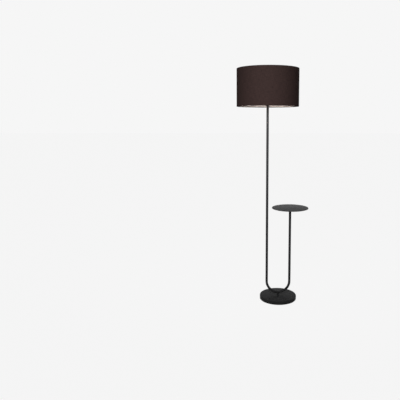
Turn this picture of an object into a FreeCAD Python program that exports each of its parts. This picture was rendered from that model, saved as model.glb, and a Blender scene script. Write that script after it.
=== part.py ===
import FreeCAD, Part
import math
import os

# Floor lamp with table. Millimetres, +Z up. The origin is on the floor under the centre of the base.
# Both legs stand in the XZ plane: the table leg at +X, the lamp leg at -X. The cord inlet faces +Y.

V = FreeCAD.Vector
ORIGIN = V(0, 0, 0)
UP = V(0, 0, 1)
BACK = V(0, 1, 0)

# ---------------------------------------------------------------- driving sizes

# Base
base_diameter = 243.0
base_height = 24.0
base_rim_rounding = 3.0
cover_wall = 1.2
cover_floor_gap = 1.4
pad_thickness = 2.0
pad_inset = 4.0
weight_play = 0.4
weight_rounding = 1.5
weight_web = 5.0
nut_pocket_diameter = 40.0
channel_width = 15.0
channel_depth = 15.0
channel_rounding = 3.0

# Inlet bush in the rear of the rim
gland_height = 10.5
gland_bore = 7.2
gland_neck_diameter = 12.0
gland_flange_diameter = 17.0
gland_flange_thickness = 2.4
gland_lock_diameter = 15.0
gland_lock_thickness = 2.0
gland_sleeve_diameter = 10.6
gland_sleeve_length = 9.0
gland_rounding = 0.9
gland_play = 0.2

# Terminal block, hung from the roof of its pocket
block_distance = 32.0
block_width = 26.0
block_length = 18.0
block_height = 13.0
block_slab = 4.0
block_slot = 6.6
block_rounding = 1.0
block_gap = 3.0
barrel_diameter = 3.6
screw_well_diameter = 3.8
terminal_screw_diameter = 3.0
terminal_screw_length = 4.0
terminal_screw_spacing = 9.0
screw_recess = 0.8
block_screw_diameter = 3.0
block_screw_head = 5.6
block_screw_head_height = 2.0
block_screw_grip = 4.0

# Stem between base and bent tube, and its hollow threaded fixing
stem_diameter = 14.0
stem_height = 10.5
stem_tapped_depth = 8.0
stem_lead_bore = 7.8
thread_diameter = 10.0
nipple_bore = 7.2
washer_diameter = 28.0
washer_thickness = 1.5
nut_across_flats = 17.0
nut_height = 3.0
nipple_overhang = 0.8
bush_flange_thickness = 0.8
bush_sleeve_length = 6.0
bush_wall = 0.7
tube_entry_diameter = 9.0

# Bent tube, pole sections and their joints
tube_diameter = 16.0
tube_wall = 1.2
bend_radius = 76.0
lamp_leg_height = 613.0
pole_section_length = 341.2
tube_end_rounding = 0.4
insert_length = 18.0
insert_tapped_depth = 14.0
insert_lead_bore = 7.2
insert_chamfer = 0.8
joint_thread_length = 11.0

# Table
table_height = 620.0
table_diameter = 240.0
table_thickness = 4.0
table_rounding = 1.2
flange_diameter = 50.0
flange_thickness = 3.0
flange_rounding = 0.8
table_stud_diameter = 8.0

# Lead inside the tubes
lead_diameter = 5.0
lead_floor_gap = 0.5
lead_turn_radius = 12.0
lead_end_gap = 1.0

# Lampholder
holder_washer_diameter = 22.0
holder_washer_thickness = 1.5
holder_nipple_rise = 10.0
lock_nut_across_flats = 14.0
lock_nut_height = 3.0
cap_diameter = 38.4
cap_foot_diameter = 24.0
cap_height = 22.0
cap_wall = 2.0
cap_floor = 2.6
cap_shoulder = 12.0
cap_rounding = 4.0
body_diameter = 39.8
body_height = 36.0
body_bore = 31.2
body_spigot_length = 5.0
body_mouth = 28.8
body_lip = 2.0
body_rounding = 1.0
core_seat_height = 13.0
core_boss_height = 8.0
core_screw_spacing = 18.0
core_screw_diameter = 3.0
core_screw_head = 5.4
core_screw_head_height = 1.8
core_screw_grip = 5.0
shell_wall = 0.5
shell_height = 24.0
shell_foot_opening = 20.0
contact_rise = 2.5
contact_width = 7.0
contact_thickness = 0.5
contact_foot = 8.0

# Ring nuts that clamp the shade
ring_diameter = 57.0
ring_hub_diameter = 47.0
ring_height = 7.0
ring_flange_thickness = 2.6
ring_rounding = 0.6
ring_grip_count = 12
ring_grip_diameter = 5.0
ring_grip_depth = 1.2
lower_ring_lift = 1.0

# Bulb
bulb_cap_diameter = 26.2
bulb_cap_length = 27.0
bulb_cap_wall = 0.5
bulb_tip_diameter = 9.2
bulb_tip_height = 1.6
bulb_glass_diameter = 18.0
bulb_glass_height = 4.0
bulb_thread_start = 8.5
bulb_neck_diameter = 27.6
bulb_neck_length = 4.5
bulb_housing_top = 64.0
bulb_housing_wall = 1.6
bulb_housing_spigot = 12.0
bulb_diameter = 60.4
bulb_length = 109.2
bulb_globe_wall = 1.2
contact_gap = 0.3

# Shade
shade_diameter = 400.0
shade_height = 240.0
shade_drop = 48.0
fabric_thickness = 0.5
liner_thickness = 0.4
wire_diameter = 2.5
hem_gap = 0.05
hem_hook_angle = 40.0
liner_end_gap = 0.3
seam_width = 12.0
seam_thickness = 0.4
seam_end_inset = 2.5
fitter_diameter = 62.0
fitter_thickness = 2.0
fitter_gap = 0.8
arm_diameter = 3.5
arm_count = 3
arm_first_angle = -90.0
arm_bend_radius = 12.0
arm_notch_gap = 0.4
weld_bite = 0.9

# Fits: half the difference of two diameters, or a gap along an axis
thread_play = 0.05
insert_play = 0.03
holder_play = 0.2
screw_play = 0.1
clamp_play = 0.1

# ---------------------------------------------------------------- derived places

base_radius = base_diameter / 2
cover_inner_radius = base_radius - cover_wall
cover_underside = base_height - cover_wall
weight_radius = cover_inner_radius - weight_play
web_underside = cover_underside - weight_web
channel_roof = pad_thickness + channel_depth

tube_radius = tube_diameter / 2
tube_bore_radius = tube_radius - tube_wall
thread_radius = thread_diameter / 2
tapped_radius = thread_radius + thread_play
stem_top = base_height + stem_height
bend_bottom = stem_top + tube_radius
bend_centre = bend_bottom + bend_radius
lamp_x = -bend_radius
table_x = bend_radius

washer_underside = web_underside - washer_thickness
nut_underside = washer_underside - nut_height
nipple_end = nut_underside - nipple_overhang
bush_end = nipple_end - bush_flange_thickness
lead_radius = lead_diameter / 2
lead_low = pad_thickness + lead_floor_gap + lead_radius
lead_base_turn = bush_end - lead_low

table_underside = table_height - table_thickness
table_leg_top = table_underside - flange_thickness
table_stud_radius = table_stud_diameter / 2

middle_joint = lamp_leg_height + pole_section_length
pole_top = middle_joint + pole_section_length

holder_base = pole_top + holder_washer_thickness
cap_bore_radius = cap_diameter / 2 - cap_wall
cap_top = holder_base + cap_height
core_seat = holder_base + core_seat_height
core_flange_top = cap_top - body_spigot_length
core_top = core_flange_top + core_boss_height
body_radius = body_diameter / 2
body_bore_radius = body_bore / 2
body_top = cap_top + body_height

lower_ring_bottom = cap_top + lower_ring_lift
fitter_underside = lower_ring_bottom + ring_height + clamp_play
fitter_middle = fitter_underside + fitter_thickness / 2
upper_ring_bottom = fitter_underside + fitter_thickness + clamp_play

bulb_cap_radius = bulb_cap_diameter / 2
shell_bore_radius = bulb_cap_radius + screw_play
bulb_bottom = core_top + contact_rise + contact_gap

shade_radius = shade_diameter / 2
shade_bottom = fitter_middle - shade_drop
shade_top = shade_bottom + shade_height
wire_radius = wire_diameter / 2
hem_inner = wire_radius + hem_gap
hem_outer = hem_inner + fabric_thickness
fabric_inner_radius = shade_radius - fabric_thickness
liner_inner_radius = fabric_inner_radius - liner_thickness
wire_track = fabric_inner_radius - hem_inner
low_wire = shade_bottom + hem_outer
high_wire = shade_top - hem_outer
arm_radius = arm_diameter / 2
arm_track = wire_track - wire_radius - arm_radius + weld_bite

# ---------------------------------------------------------------- shaping helpers


def unit(vector):
    return vector * (1.0 / vector.Length)


def rounded_edges(corners, closed):
    """Straight runs joined by tangent arcs. Each corner is a point and its rounding radius."""
    stops = []
    for i, (point, radius) in enumerate(corners):
        at_end = not closed and i in (0, len(corners) - 1)
        if at_end or radius <= 0:
            stops.append((point, None, point))
            continue
        to_last = unit(corners[i - 1][0] - point)
        to_next = unit(corners[(i + 1) % len(corners)][0] - point)
        half_angle = to_last.getAngle(to_next) / 2
        reach = radius / math.tan(half_angle)
        bisector = unit(to_last + to_next)
        crest = point + bisector * (radius / math.sin(half_angle) - radius)
        stops.append((point + to_last * reach, crest, point + to_next * reach))
    edges = []
    for i, (arc_start, crest, arc_end) in enumerate(stops):
        if crest is not None:
            edges.append(Part.Arc(arc_start, crest, arc_end).toShape())
        if i + 1 < len(stops) or closed:
            next_start = stops[(i + 1) % len(stops)][0]
            if arc_end.distanceToPoint(next_start) > 1e-6:
                edges.append(Part.LineSegment(arc_end, next_start).toShape())
    return edges


def flat_face(corners):
    return Part.Face(Part.Wire(rounded_edges(corners, closed=True)))


def turned(section, axis_x=0.0):
    """A turned piece. The section lists radius, height and, where wanted, a rounding."""
    corners = [(V(corner[0], 0, corner[1]), corner[2] if len(corner) > 2 else 0) for corner in section]
    piece = flat_face(corners).revolve(ORIGIN, UP, 360)
    piece.translate(V(axis_x, 0, 0))
    return piece


def rod(radius, low, high, x=0.0, y=0.0):
    return Part.makeCylinder(radius, high - low, V(x, y, low), UP)


def collar(outer, inner, low, high, x=0.0, rounding=0.0):
    """A plain ring, with its outer edges rounded where wanted."""
    section = [(inner, low), (outer, low, rounding), (outer, high, rounding), (inner, high)]
    return turned(section, x)


def plate(x_range, y_range, low, high, rounding):
    """A rectangular block with rounded upright edges."""
    corners = [
        (V(x_range[0], y_range[0], low), rounding),
        (V(x_range[1], y_range[0], low), rounding),
        (V(x_range[1], y_range[1], low), rounding),
        (V(x_range[0], y_range[1], low), rounding),
    ]
    return flat_face(corners).extrude(UP * (high - low))


def hex_nut(across_flats, bore_radius, low, high, x=0.0):
    """A hexagon nut whose six points are turned off at both faces."""
    across_points = across_flats / math.cos(math.radians(30))
    points = []
    for k in range(7):
        angle = math.radians(60 * k)
        points.append(V(math.cos(angle), math.sin(angle), 0) * (across_points / 2) + V(x, 0, low))
    prism = Part.Face(Part.makePolygon(points)).extrude(UP * (high - low))
    chamfer = (across_points - across_flats) / 2
    flat_radius = across_points / 2 - chamfer
    blank = turned([
        (bore_radius, low),
        (flat_radius, low),
        (across_points / 2, low + chamfer / 2),
        (across_points / 2, high - chamfer / 2),
        (flat_radius, high),
        (bore_radius, high),
    ], x)
    return prism.common(blank)


def round_bar(corners, radius):
    """A round bar along straight runs and tangent arcs."""
    path = Part.Wire(rounded_edges(corners, closed=False))
    start = corners[0][0]
    disc = Part.Face(Part.Wire(Part.makeCircle(radius, start, corners[1][0] - start)))
    return path.makePipe(disc)


def join(first, *others):
    return first.multiFuse(list(others)).removeSplitter()


# ---------------------------------------------------------------- base


def base_pad():
    radius = base_radius - pad_inset
    return turned([(0, 0), (radius, 0), (radius, pad_thickness), (0, pad_thickness)])


def base_cover():
    """Spun steel cover: a flat top, a rounded rim and a skirt, with the inlet hole at the rear."""
    shell = turned([
        (tapped_radius, base_height),
        (base_radius, base_height, base_rim_rounding),
        (base_radius, cover_floor_gap),
        (cover_inner_radius, cover_floor_gap),
        (cover_inner_radius, cover_underside, base_rim_rounding - cover_wall),
        (tapped_radius, cover_underside),
    ])
    hole_radius = gland_neck_diameter / 2 + gland_play
    rim_depth = base_radius - weight_radius
    hole = Part.makeCylinder(hole_radius, 2 * rim_depth, V(0, base_radius - rim_depth, gland_height), BACK)
    return shell.cut(hole)


def base_weight():
    """Cast-iron disc. From below: nut pocket, terminal pocket and the channel out to the inlet."""
    disc = turned([
        (tapped_radius, pad_thickness),
        (weight_radius, pad_thickness, weight_rounding),
        (weight_radius, cover_underside, base_rim_rounding - cover_wall + weight_play),
        (tapped_radius, cover_underside),
    ])
    nut_pocket = rod(nut_pocket_diameter / 2, pad_thickness, web_underside)
    channel_half = channel_width / 2
    channel = plate((-channel_half, channel_half), (0, base_radius + channel_width),
                    pad_thickness, channel_roof, channel_rounding)
    pocket_half = block_width / 2 + block_gap
    pocket_range = (block_distance - block_gap, block_distance + block_length + block_gap)
    pocket = plate((-pocket_half, pocket_half), pocket_range, pad_thickness, block_top, channel_rounding)
    gland_room = Part.makeCylinder(gland_lock_diameter / 2 + block_gap / 2, gland_pocket_depth,
                                   V(0, weight_radius - gland_pocket_depth, gland_height), BACK)
    return disc.cut(nut_pocket).cut(channel).cut(pocket).cut(gland_room).cut(block_screw_hole())


def cord_gland():
    """Snap-in bush: outer flange, neck through the cover, lock behind it and a sleeve inwards."""
    bore = gland_bore / 2
    section = [
        (bore, gland_sleeve_end),
        (gland_sleeve_diameter / 2, gland_sleeve_end),
        (gland_sleeve_diameter / 2, gland_lock_front - gland_lock_thickness),
        (gland_lock_diameter / 2, gland_lock_front - gland_lock_thickness, gland_rounding),
        (gland_lock_diameter / 2, gland_lock_front),
        (gland_neck_diameter / 2, gland_lock_front),
        (gland_neck_diameter / 2, base_radius),
        (gland_flange_diameter / 2, base_radius),
        (gland_flange_diameter / 2, base_radius + gland_flange_thickness, gland_rounding),
        (bore, base_radius + gland_flange_thickness),
    ]
    bush = turned(section)
    bush.rotate(ORIGIN, V(1, 0, 0), -90)
    bush.translate(V(0, 0, gland_height))
    return bush


gland_lock_front = math.sqrt(cover_inner_radius ** 2 - (gland_lock_diameter / 2) ** 2) - gland_play
gland_sleeve_end = gland_lock_front - gland_lock_thickness - gland_sleeve_length
gland_pocket_depth = weight_radius - gland_lock_front + gland_lock_thickness + block_gap

# ---------------------------------------------------------------- terminal block

block_top = pad_thickness + lead_floor_gap + block_height
block_bottom = block_top - block_height
block_middle = block_distance + block_length / 2
tower_width = (block_width - block_slot) / 2
tower_offset = (block_slot + tower_width) / 2
screw_well_end = block_bottom + screw_recess + terminal_screw_length + thread_play


def terminal_block():
    """A slab with two towers hanging from it; each tower has a barrel and two screw wells."""
    half_width = block_width / 2
    y_range = (block_distance, block_distance + block_length)
    block = plate((-half_width, half_width), y_range, block_top - block_slab, block_top, block_rounding)
    for side in (-1, 1):
        centre = side * tower_offset
        x_range = (centre - tower_width / 2, centre + tower_width / 2)
        tower = plate(x_range, y_range, block_bottom, block_top - block_slab, block_rounding)
        block = join(block, tower)
    for side in (-1, 1):
        centre = side * tower_offset
        barrel = Part.makeCylinder(barrel_diameter / 2, block_length, V(centre, block_distance, lead_low), BACK)
        block = block.cut(barrel)
        for y in terminal_screw_places():
            block = block.cut(rod(screw_well_diameter / 2, block_bottom, screw_well_end, centre, y))
    return block.cut(block_screw_hole())


def terminal_screw_places():
    half_spacing = terminal_screw_spacing / 2
    return (block_middle - half_spacing, block_middle + half_spacing)


def terminal_screws():
    screws = []
    low = block_bottom + screw_recess
    for side in (-1, 1):
        for y in terminal_screw_places():
            screw = rod(terminal_screw_diameter / 2, low, low + terminal_screw_length, side * tower_offset, y)
            slot = Part.makeBox(terminal_screw_diameter, screw_recess, screw_recess,
                                V(side * tower_offset - terminal_screw_diameter / 2, y - screw_recess / 2, low))
            screws.append(screw.cut(slot))
    return Part.makeCompound(screws)


def block_screw_hole():
    top = block_top + block_screw_grip
    return rod(block_screw_diameter / 2 + thread_play, block_top - block_slab, top, 0, block_middle)


def block_screw():
    head_top = block_top - block_slab
    head = rod(block_screw_head / 2, head_top - block_screw_head_height, head_top, 0, block_middle)
    shank = rod(block_screw_diameter / 2, head_top, block_top + block_screw_grip, 0, block_middle)
    return join(head, shank)


# ---------------------------------------------------------------- stem


def stem_washer():
    return collar(washer_diameter / 2, tapped_radius, washer_underside, web_underside)


def stem_nut():
    return hex_nut(nut_across_flats, tapped_radius, nut_underside, washer_underside)


def stem_nipple():
    return collar(thread_radius, nipple_bore / 2, nipple_end, base_height + stem_tapped_depth - thread_play)


def nipple_bush():
    """Plastic bush that keeps the lead off the nipple's lower edge."""
    outer = nipple_bore / 2 - thread_play
    bore = nipple_bore / 2 - bush_wall
    return turned([
        (bore, bush_end),
        (thread_radius, bush_end),
        (thread_radius, nipple_end),
        (outer, nipple_end),
        (outer, nipple_end + bush_sleeve_length),
        (bore, nipple_end + bush_sleeve_length),
    ])


def stem():
    """Turned neck, tapped from below and hollowed to the round of the bent tube at its top."""
    neck = rod(stem_diameter / 2, base_height, bend_bottom)
    tapped = rod(tapped_radius, base_height, base_height + stem_tapped_depth)
    lead_way = rod(stem_lead_bore / 2, base_height, bend_bottom)
    return neck.cut(tapped).cut(lead_way).cut(round_bar(u_route(), tube_radius))


# ---------------------------------------------------------------- tubes and joints


def u_route():
    return [
        (V(table_x, 0, table_leg_top), 0),
        (V(table_x, 0, bend_bottom), bend_radius),
        (V(lamp_x, 0, bend_bottom), bend_radius),
        (V(lamp_x, 0, lamp_leg_height), 0),
    ]


def u_tube():
    """Both legs and the half-round bend are one tube. The lead enters by a hole under the bend."""
    wall = round_bar(u_route(), tube_radius).cut(round_bar(u_route(), tube_bore_radius))
    return wall.cut(rod(tube_entry_diameter / 2, stem_top - tube_wall, bend_bottom))


def pole_section(low):
    high = low + pole_section_length
    return collar(tube_radius, tube_bore_radius, low, high, lamp_x, tube_end_rounding)


def tapped_insert(top):
    """Insert pressed in flush with a tube's top end, tapped for the piece above."""
    outer = tube_bore_radius - insert_play
    bottom = top - insert_length
    return turned([
        (insert_lead_bore / 2, bottom),
        (outer - insert_chamfer, bottom),
        (outer, bottom + insert_chamfer),
        (outer, top),
        (tapped_radius, top),
        (tapped_radius, top - insert_tapped_depth),
        (insert_lead_bore / 2, top - insert_tapped_depth),
    ], lamp_x)


def threaded_insert(bottom):
    """Insert pressed into a tube's lower end, with a hollow thread that reaches into the tube below."""
    outer = tube_bore_radius - insert_play
    return turned([
        (insert_lead_bore / 2, bottom - joint_thread_length),
        (thread_radius, bottom - joint_thread_length),
        (thread_radius, bottom),
        (outer, bottom),
        (outer, bottom + insert_length - insert_chamfer),
        (outer - insert_chamfer, bottom + insert_length),
        (insert_lead_bore / 2, bottom + insert_length),
    ], lamp_x)


def inner_lead_route():
    """From the terminal block to the nipple, up the stem, round the bend and up the lamp leg."""
    entry_slope = math.asin(lead_turn_radius / (lead_turn_radius + bend_radius))
    leg_corner = bend_centre - bend_radius * math.tan((math.pi / 2 - entry_slope) / 2)
    entry_corner = leg_corner - bend_radius * math.tan(entry_slope)
    return [
        (V(0, block_distance, lead_low), 0),
        (V(0, 0, lead_low), lead_base_turn),
        (V(0, 0, entry_corner), lead_turn_radius),
        (V(lamp_x, 0, leg_corner), bend_radius),
        (V(lamp_x, 0, core_seat - core_screw_head_height - lead_end_gap), 0),
    ]


def inner_lead():
    route = inner_lead_route()
    lead = round_bar(route, lead_radius)
    length = Part.Wire(rounded_edges(route, closed=False)).Length
    swept_volume = math.pi * lead_radius ** 2 * length
    print("inner lead: length %.0f, volume over section times length %.5f" % (length, lead.Volume / swept_volume))
    print("inner lead: radii %.1f, %.1f, %.1f" % (lead_base_turn, lead_turn_radius, bend_radius))
    return lead


# ---------------------------------------------------------------- table


def table_leg_insert():
    outer = tube_bore_radius - insert_play
    tapped = table_stud_radius + thread_play
    bottom = table_leg_top - insert_length
    return turned([
        (0, bottom),
        (outer - insert_chamfer, bottom),
        (outer, bottom + insert_chamfer),
        (outer, table_leg_top),
        (tapped, table_leg_top),
        (tapped, table_leg_top - insert_tapped_depth),
        (0, table_leg_top - insert_tapped_depth),
    ], table_x)


def table_stud():
    low = table_leg_top - insert_tapped_depth + flange_rounding
    return rod(table_stud_radius, low, table_underside, table_x)


def table_flange():
    return turned([
        (table_stud_radius + thread_play, table_leg_top),
        (flange_diameter / 2, table_leg_top, flange_rounding),
        (flange_diameter / 2, table_underside),
        (table_stud_radius + thread_play, table_underside),
    ], table_x)


def table_top():
    radius = table_diameter / 2
    return turned([
        (0, table_underside),
        (radius, table_underside, table_rounding),
        (radius, table_height, table_rounding),
        (0, table_height),
    ], table_x)


# ---------------------------------------------------------------- lampholder


def holder_washer():
    return collar(holder_washer_diameter / 2, tapped_radius, pole_top, holder_base, lamp_x)


def holder_nipple():
    low = pole_top - joint_thread_length
    return collar(thread_radius, insert_lead_bore / 2, low, holder_base + holder_nipple_rise, lamp_x)


def holder_lock_nut():
    low = holder_base + cap_floor
    return hex_nut(lock_nut_across_flats, tapped_radius, low, low + lock_nut_height, lamp_x)


def holder_cap():
    """Bell-shaped lower half of the lampholder, with a ledge inside for the core."""
    outer = cap_diameter / 2
    foot = cap_foot_diameter / 2
    ledge_radius = cap_bore_radius - cap_wall
    return turned([
        (tapped_radius, holder_base),
        (foot, holder_base, cap_wall),
        (outer, holder_base + cap_shoulder, cap_rounding),
        (outer, cap_top),
        (cap_bore_radius, cap_top),
        (cap_bore_radius, core_seat),
        (ledge_radius, core_seat),
        (ledge_radius, holder_base + cap_shoulder, cap_wall),
        (foot - cap_wall, holder_base + cap_floor, cap_wall / 2),
        (tapped_radius, holder_base + cap_floor),
    ], lamp_x)


def holder_insulator():
    """Ceramic core: a flange held between the cap's ledge and the body, and a boss above it."""
    flange_radius = cap_bore_radius - holder_play
    boss_radius = body_bore_radius - holder_play
    core = turned([
        (0, core_seat),
        (flange_radius, core_seat),
        (flange_radius, core_flange_top),
        (boss_radius, core_flange_top),
        (boss_radius, core_top),
        (0, core_top),
    ], lamp_x)
    for side in (-1, 1):
        x = lamp_x + side * core_screw_spacing / 2
        core = core.cut(rod(core_screw_diameter / 2 + thread_play, core_seat, core_seat + core_screw_grip, x))
    return core


def holder_terminal_screws():
    screws = []
    for side in (-1, 1):
        x = lamp_x + side * core_screw_spacing / 2
        head = rod(core_screw_head / 2, core_seat - core_screw_head_height, core_seat, x)
        shank = rod(core_screw_diameter / 2, core_seat, core_seat + core_screw_grip, x)
        screws.append(join(head, shank))
    return Part.makeCompound(screws)


def centre_contact():
    """Brass spring strip: a flat foot, a rise and a flat tongue under the bulb's tip."""
    t = contact_thickness
    half_foot = contact_foot / 2
    low = core_top
    high = core_top + contact_rise
    outline = [
        (-half_foot, low), (0, low), (t, high - t), (half_foot, high - t),
        (half_foot, high), (0, high), (-t, low + t), (-half_foot, low + t),
    ]
    corners = [(V(lamp_x + x, -contact_width / 2, z), 0) for x, z in outline]
    return flat_face(corners).extrude(BACK * contact_width)


def screw_shell():
    """Brass sleeve that takes the bulb's cap; its foot turns inwards on the core."""
    outer = shell_bore_radius + shell_wall
    return turned([
        (shell_foot_opening / 2, core_top),
        (outer, core_top, shell_wall),
        (outer, core_top + shell_height),
        (shell_bore_radius, core_top + shell_height),
        (shell_bore_radius, core_top + shell_wall),
        (shell_foot_opening / 2, core_top + shell_wall),
    ], lamp_x)


def holder_body():
    """Upper half of the lampholder: a sleeve with a spigot down into the cap and a lip at its mouth."""
    mouth = body_mouth / 2
    spigot_radius = cap_bore_radius - thread_play
    return turned([
        (body_bore_radius, core_flange_top),
        (spigot_radius, core_flange_top),
        (spigot_radius, cap_top),
        (body_radius, cap_top),
        (body_radius, body_top, body_rounding),
        (mouth, body_top, body_rounding / 2),
        (mouth, body_top - body_lip),
        (body_bore_radius, body_top - body_lip),
    ], lamp_x)


def shade_ring(flange_at, away):
    """Ring nut with a gripped flange towards the shade's fitter and a hub away from it."""
    bore = body_radius + thread_play
    flange_back = flange_at + away * ring_flange_thickness
    hub_end = flange_at + away * ring_height
    ring = turned([
        (bore, flange_at),
        (ring_diameter / 2, flange_at),
        (ring_diameter / 2, flange_back),
        (ring_hub_diameter / 2, flange_back),
        (ring_hub_diameter / 2, hub_end, ring_rounding),
        (bore, hub_end),
    ], lamp_x)
    grip_radius = ring_grip_diameter / 2
    grip_track = ring_diameter / 2 + grip_radius - ring_grip_depth
    low = min(flange_at, flange_back)
    for k in range(ring_grip_count):
        angle = 2 * math.pi * k / ring_grip_count
        x = lamp_x + grip_track * math.cos(angle)
        y = grip_track * math.sin(angle)
        ring = ring.cut(rod(grip_radius, low, low + ring_flange_thickness, x, y))
    return ring


# ---------------------------------------------------------------- bulb


def bulb_tip():
    radius = bulb_tip_diameter / 2
    top = bulb_bottom + bulb_tip_height
    return turned([(0, bulb_bottom), (radius, bulb_bottom, bulb_tip_height / 2), (radius, top), (0, top)], lamp_x)


def bulb_insulator():
    low = bulb_bottom + bulb_tip_height
    high = low + bulb_glass_height
    return turned([(0, low), (bulb_tip_diameter / 2, low), (bulb_glass_diameter / 2, high), (0, high)], lamp_x)


def bulb_cap():
    """Thin metal shell of the screw cap, open at both ends."""
    foot = bulb_bottom + bulb_tip_height + bulb_glass_height
    start = bulb_bottom + bulb_thread_start
    top = bulb_bottom + bulb_cap_length
    glass = bulb_glass_diameter / 2
    bore = bulb_cap_radius - bulb_cap_wall
    return turned([
        (glass - bulb_cap_wall, foot),
        (glass, foot),
        (bulb_cap_radius, start, bulb_cap_wall * 2),
        (bulb_cap_radius, top),
        (bore, top),
        (bore, start + bulb_cap_wall, bulb_cap_wall),
        (glass - bulb_cap_wall, foot + bulb_cap_wall),
    ], lamp_x)


def bulb_housing():
    """White plastic cone between the screw cap and the globe; its foot sits in the cap."""
    spigot = bulb_cap_radius - bulb_cap_wall - thread_play
    neck = bulb_neck_diameter / 2
    foot = bulb_bottom + bulb_cap_length
    rim = bulb_bottom + bulb_housing_top
    rim_radius = globe_radius_at(rim)
    inner = rim_radius - bulb_housing_wall
    return turned([
        (spigot - bulb_housing_wall, foot - bulb_housing_spigot),
        (spigot, foot - bulb_housing_spigot),
        (spigot, foot),
        (neck, foot),
        (neck, foot + bulb_neck_length, bulb_neck_diameter / 2),
        (rim_radius, rim),
        (inner, rim),
        (spigot - bulb_housing_wall, foot + bulb_neck_length, bulb_neck_diameter / 2),
    ], lamp_x)


def globe_radius_at(height):
    """Radius of the globe's ball where the given height cuts it."""
    ball = bulb_diameter / 2
    centre = bulb_bottom + bulb_length - ball
    return math.sqrt(ball ** 2 - (height - centre) ** 2)


def bulb_globe():
    """Opal ball, cut off flat where it meets the housing."""
    ball = bulb_diameter / 2
    centre = V(lamp_x, 0, bulb_bottom + bulb_length - ball)
    rim = bulb_bottom + bulb_housing_top
    solid = Part.makeSphere(ball, centre).cut(Part.makeSphere(ball - bulb_globe_wall, centre))
    below = rod(bulb_diameter, rim - bulb_diameter, rim, lamp_x)
    return solid.cut(below)


# ---------------------------------------------------------------- shade


def hem_hook(wire_height, up):
    """The cloth's edge hooked round a wire: edges from the outer wall, round and back to the inner one.

    up is +1 at the bottom hem, where the hook's tail points up, and -1 at the top hem."""
    hook = math.radians(hem_hook_angle)
    tail_way = V(math.sin(hook), 0, up * math.cos(hook))
    tail = (liner_inner_radius - hem_gap - wire_track + hem_inner * math.cos(hook)) / math.sin(hook)

    def spot(radius, angle):
        return V(wire_track + radius * math.cos(angle), 0, wire_height + up * radius * math.sin(angle))

    turn_middle = -(math.pi + hook) / 2
    turn_end = math.pi - hook
    outer_end = spot(hem_outer, turn_end)
    inner_end = spot(hem_inner, turn_end)
    return [
        Part.Arc(spot(hem_outer, 0), spot(hem_outer, turn_middle), outer_end).toShape(),
        Part.LineSegment(outer_end, outer_end + tail_way * tail).toShape(),
        Part.LineSegment(outer_end + tail_way * tail, inner_end + tail_way * tail).toShape(),
        Part.LineSegment(inner_end + tail_way * tail, inner_end).toShape(),
        Part.Arc(inner_end, spot(hem_inner, turn_middle), spot(hem_inner, 0)).toShape(),
    ]


def shade_fabric():
    """Cloth drum. Both edges wrap a wire ring, and the lower one is notched for the three arms."""
    walls = [
        Part.LineSegment(V(shade_radius, 0, high_wire), V(shade_radius, 0, low_wire)).toShape(),
        Part.LineSegment(V(fabric_inner_radius, 0, low_wire), V(fabric_inner_radius, 0, high_wire)).toShape(),
    ]
    outline = hem_hook(low_wire, 1) + hem_hook(high_wire, -1) + walls
    section = Part.Face(Part.Wire(Part.__sortEdges__(outline)))
    drum = section.revolve(ORIGIN, UP, 360)
    notch_radius = arm_radius + arm_notch_gap
    for angle in arm_angles():
        x = arm_track * math.cos(angle)
        y = arm_track * math.sin(angle)
        drum = drum.cut(rod(notch_radius, low_wire - arm_notch_gap, low_wire + wire_diameter * 2, x, y))
    drum.translate(V(lamp_x, 0, 0))
    return drum


def arm_angles():
    return [math.radians(arm_first_angle + 360.0 * k / arm_count) for k in range(arm_count)]


def shade_liner():
    low = low_wire + wire_radius + liner_end_gap
    high = high_wire - wire_radius - liner_end_gap
    return collar(fabric_inner_radius, liner_inner_radius, low, high, lamp_x)


def shade_top_ring():
    return Part.makeTorus(wire_track, wire_radius, V(lamp_x, 0, high_wire), UP)


def shade_spider():
    """Welded frame: lower wire ring, arms that rise beside the liner and run in, and the fitter ring."""
    fitter_radius = fitter_diameter / 2
    fitter_bore = body_radius + fitter_gap
    frame = [Part.makeTorus(wire_track, wire_radius, V(0, 0, low_wire), UP)]
    route = [
        (V(fitter_radius - weld_bite, 0, fitter_middle), 0),
        (V(arm_track, 0, fitter_middle), arm_bend_radius),
        (V(arm_track, 0, low_wire), 0),
    ]
    for angle in arm_angles():
        arm = round_bar(route, arm_radius)
        arm.rotate(ORIGIN, UP, math.degrees(angle))
        frame.append(arm)
    fitter = collar(fitter_radius, fitter_bore, fitter_underside, fitter_underside + fitter_thickness)
    spider = join(fitter, *frame)
    spider.translate(V(lamp_x, 0, 0))
    return spider


def shade_seam():
    """Glued lap of the cloth, upright at the rear."""
    low = low_wire + seam_end_inset
    high = high_wire - seam_end_inset
    corners = [
        (V(shade_radius, 0, low), 0),
        (V(shade_radius + seam_thickness, 0, low), 0),
        (V(shade_radius + seam_thickness, 0, high), 0),
        (V(shade_radius, 0, high), 0),
    ]
    spread = math.degrees(seam_width / shade_radius)
    strip = flat_face(corners).revolve(ORIGIN, UP, spread)
    strip.rotate(ORIGIN, UP, 90 - spread / 2)
    strip.translate(V(lamp_x, 0, 0))
    return strip


# ---------------------------------------------------------------- all pieces

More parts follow.
